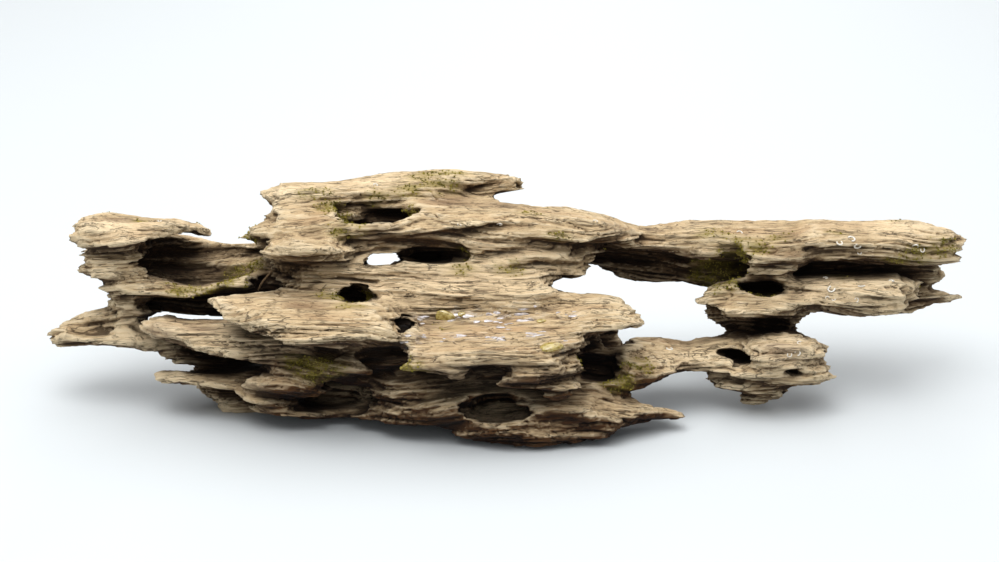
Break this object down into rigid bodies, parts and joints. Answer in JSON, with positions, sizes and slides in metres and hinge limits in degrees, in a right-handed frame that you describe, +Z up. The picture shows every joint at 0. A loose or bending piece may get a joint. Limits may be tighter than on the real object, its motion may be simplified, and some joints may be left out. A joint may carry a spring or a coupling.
{
  "type": "honeycomb wood",
  "caption": "Long piece of rotted-through honeycomb driftwood with ledges along the grain, ragged ends and open hollows, resting on low points of its underside.",
  "frame": {"origin": "centre of the footprint, on the surface that the wood rests on", "axes": "+X along the grain towards the long right log, +Y towards the back, +Z up"},
  "size_m": [0.4732, 0.1278, 0.1076],
  "materials": {
    "weathered_wood": "dry, weathered, grooved along the grain"
  },
  "bodies": {
    "root": {"honeycomb_wood": "weathered_wood"}
  },
  "joints": []
}
